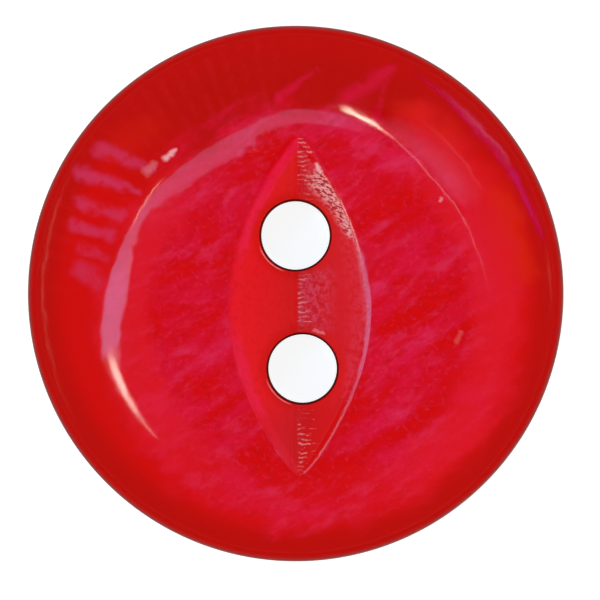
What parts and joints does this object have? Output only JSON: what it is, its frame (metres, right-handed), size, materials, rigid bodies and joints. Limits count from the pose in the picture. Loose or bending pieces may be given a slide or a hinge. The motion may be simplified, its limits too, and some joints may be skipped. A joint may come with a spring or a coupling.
{
  "type": "two-hole fish-eye button",
  "caption": "Round sew-through garment button of red pearl polyester, with thread holes in a pointed fish-eye groove.",
  "frame": {"origin": "centre of the round outline, on the flat of the back", "axes": "+Z out of the front face, +Y along the fish-eye groove towards its upper tip, +X to the right seen from the front"},
  "size_m": [0.016, 0.016, 0.0028],
  "materials": {
    "pearl_polyester": "polished red polyester with a cloudy pink pearl layer that thins out down the rim and in the groove"
  },
  "bodies": {
    "root": {"button": "pearl_polyester"}
  },
  "joints": []
}
